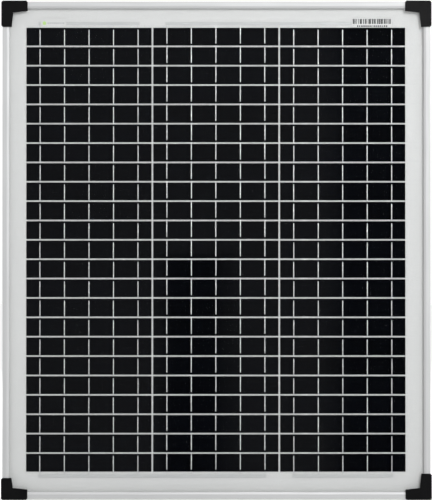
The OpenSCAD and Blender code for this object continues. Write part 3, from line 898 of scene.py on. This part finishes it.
epoxy_black = (0.014, 0.014, 0.015, 1)
epoxy_pale = (0.028, 0.028, 0.03, 1)
band_grey = (0.48, 0.49, 0.50, 1)
diode_long = 0.0092
diode_radius = 0.0026
round_off = 0.0007
band_start = 0.0018
band_end = 0.0032
band_proud = 0.00004
leg_radius = 0.0006
leg_start_share = 0.9
plate_half = 0.004
elbow_out = 0.0104
bend = 0.0009
bend_share = 0.3
low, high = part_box("bypass_diodes")
plates_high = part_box("terminal_plates")[1]
diode_y = low.y + diode_radius
diode_z = high.z - diode_radius
half = diode_long / 2
bodies, bands, legs = [], [], []
for side in (-1, 1):
    middle = side * (plates_high.x - plate_half) / 2
    body = turned_mesh("diode body", [(-half, 0), (-half, diode_radius - round_off),
                                      (-half + round_off, diode_radius),
                                      (half - round_off, diode_radius),
                                      (half, diode_radius - round_off), (half, 0)])
    band = turned_mesh("diode band", [(band_start, 0), (band_start, diode_radius + band_proud),
                                      (band_end, diode_radius + band_proud), (band_end, 0)])
    for mesh, group in ((body, bodies), (band, bands)):
        for vertex in mesh.vertices:
            vertex.co += Vector((middle, diode_y, diode_z))
        group.append(new_piece("diode part", mesh))
    for end in (-1, 1):
        path = bpy.data.curves.new("leg", "CURVE")
        path.dimensions = "3D"
        path.bevel_depth = leg_radius
        path.bevel_resolution = 3
        path.use_fill_caps = True
        wire = path.splines.new("POLY")
        elbow_x = middle + end * elbow_out
        inset = bend * bend_share
        points = [(middle + end * half * leg_start_share, diode_y), (elbow_x - end * bend, diode_y),
                  (elbow_x - end * inset, diode_y - inset),
                  (elbow_x, diode_y - bend), (elbow_x, plates_high.y)]
        wire.points.add(len(points) - 1)
        for point, (x, y) in zip(wire.points, points):
            point.co = (x, y, diode_z, 1)
        leg = new_piece("bent leg", path)
        graph = bpy.context.evaluated_depsgraph_get()
        mesh = bpy.data.meshes.new_from_object(leg.evaluated_get(graph))
        legs.append(new_piece("diode leg", mesh))
        bpy.data.objects.remove(leg)

diode_epoxy = moulded("diode_epoxy", epoxy_black, epoxy_pale)
stands_for(joined("diode_bodies", bodies, diode_epoxy), "bypass_diodes")
band_piece = joined("diode_bands", bands, moulded("diode_band", band_grey, band_grey))
leg_piece = joined("diode_legs", legs, tinned_ribbon)
for piece in (band_piece, leg_piece):
    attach(piece, "panel")


# ---------------------------------------------------------------- cable glands
# Moulded nylon glands screwed into the box's lower wall. Each nut turns down on its thread
# and closes a fingered claw on the rubber seal, to grip a cable.

gland_edge = 0.0003
nut_edge = 0.0002
claw_edge = 0.00015
nylon_black = (0.014, 0.014, 0.015, 1)
nylon_pale = (0.026, 0.026, 0.028, 1)
gland_nylon = moulded("gland_nylon", nylon_black, nylon_pale, rough=(0.36, 0.5))
coat(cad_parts["gland_washers"], black_rubber)
for side in ("left", "right"):
    softened("gland_body_" + side, gland_edge, gland_nylon)
    softened("gland_nut_" + side, nut_edge, gland_nylon, body="nut_" + side)
    softened("gland_claw_" + side, claw_edge, gland_nylon, body="claw_" + side)
    coat(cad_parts["gland_seal_" + side], black_rubber)


# ---------------------------------------------------------------- studio
# A pale floor that glows a little, under the panel's bottom edge, and a soft bright room with
# a dim patch in front of the glass. One soft lamp stands in front on the right, one behind on
# the left, and the camera has a long lens.

floor_half = 15
floor_thick = 0.02
floor_glow = 0.34
floor_white = (0.86, 0.86, 0.86, 1)
floor_white_low = (0.83, 0.83, 0.83, 1)
floor_mesh = block_mesh("floor", (-floor_half, -floor_half, cad_low.z - floor_thick),
                        (floor_half, floor_half, cad_low.z))
floor = new_piece("studio_floor", floor_mesh)
floor_pale, tree, shader = new_material("floor_pale", Roughness=0.8,
                                        Emission_Strength=floor_glow)
shader.inputs["Emission Color"].default_value = (1, 1, 1, 1)
tree.links.new(mixed(tree, grain(tree, 2), floor_white, floor_white_low),
               shader.inputs["Base Color"])
coat(floor, floor_pale)
floor.visible_glossy = False
floor.visible_transmission = False

room_light = 0.70
dim_left = 0.065
dim_right = 0.001
patch_edge = (-0.985, -0.955)
dim_edge = (0.050, 0.064)
shape_left = (-0.030, -0.021)
shape_right = (-0.003, 0.0125)
shape_top = (0.004, 0.0095)
room = bpy.data.worlds.new("soft room")
bpy.context.scene.world = room
room.use_nodes = True
tree = room.node_tree
direction = tree.nodes.new("ShaderNodeSeparateXYZ")
tree.links.new(tree.nodes.new("ShaderNodeTexCoord").outputs["Generated"],
               direction.inputs["Vector"])


def edged(axis, low, high, edge):
    """A value that changes from low to high across an edge in the room."""
    return between(tree, direction.outputs[axis], low, high, start=edge[0], end=edge[1])


left_of = edged("X", 1.0, 0.0, shape_left)
right_of = edged("X", 0.0, 1.0, shape_right)
beside = combined(tree, "MAXIMUM", left_of, right_of)
around = combined(tree, "MAXIMUM", beside, edged("Z", 0.0, 1.0, shape_top))
level = tree.nodes.new("ShaderNodeMix")
tree.links.new(edged("Y", 1.0, 0.0, patch_edge), level.inputs["Factor"])
level.inputs["A"].default_value = room_light
dim_patch = combined(tree, "MULTIPLY", edged("X", dim_left, dim_right, dim_edge), around)
tree.links.new(dim_patch, level.inputs["B"])
backdrop = tree.nodes.new("ShaderNodeMix")
tree.links.new(tree.nodes.new("ShaderNodeLightPath").outputs["Is Camera Ray"],
               backdrop.inputs["Factor"])
tree.links.new(level.outputs["Result"], backdrop.inputs["A"])
backdrop.inputs["B"].default_value = 1.0
tree.links.new(backdrop.outputs["Result"], tree.nodes["Background"].inputs["Strength"])
tree.nodes["Background"].inputs["Color"].default_value = (1, 1, 1, 1)


def soft_lamp(name, location, size, energy):
    """A square lamp that points at the panel and isn't seen itself."""
    data = bpy.data.lights.new(name, "AREA")
    data.shape = "SQUARE"
    data.size = size
    data.energy = energy
    lamp = bpy.data.objects.new(name, data)
    lamp.location = location
    lamp.rotation_euler = (-Vector(location)).to_track_quat("-Z", "Y").to_euler()
    lamp.visible_camera = False
    bpy.context.scene.collection.objects.link(lamp)


soft_lamp("front_lamp", (0.9, -2.6, 1.1), size=0.9, energy=46)
soft_lamp("back_lamp", (-1.1, 2.4, 1.3), size=1.2, energy=34)

lens = 150
sensor = 36
view_high = 0.6305
lean = 0.025
aim_across = -0.0005
camera_data = bpy.data.cameras.new("camera")
camera_data.lens = lens
camera_data.sensor_width = sensor
camera = bpy.data.objects.new("camera", camera_data)
bpy.context.scene.collection.objects.link(camera)
face = Vector((aim_across, cad_low.y, 0))
camera.location = face + Vector((0, -view_high * lens / sensor, -lean))
camera.rotation_euler = (face - camera.location).to_track_quat("-Z", "Y").to_euler()
bpy.context.scene.camera = camera
bpy.context.scene.view_settings.view_transform = "Standard"
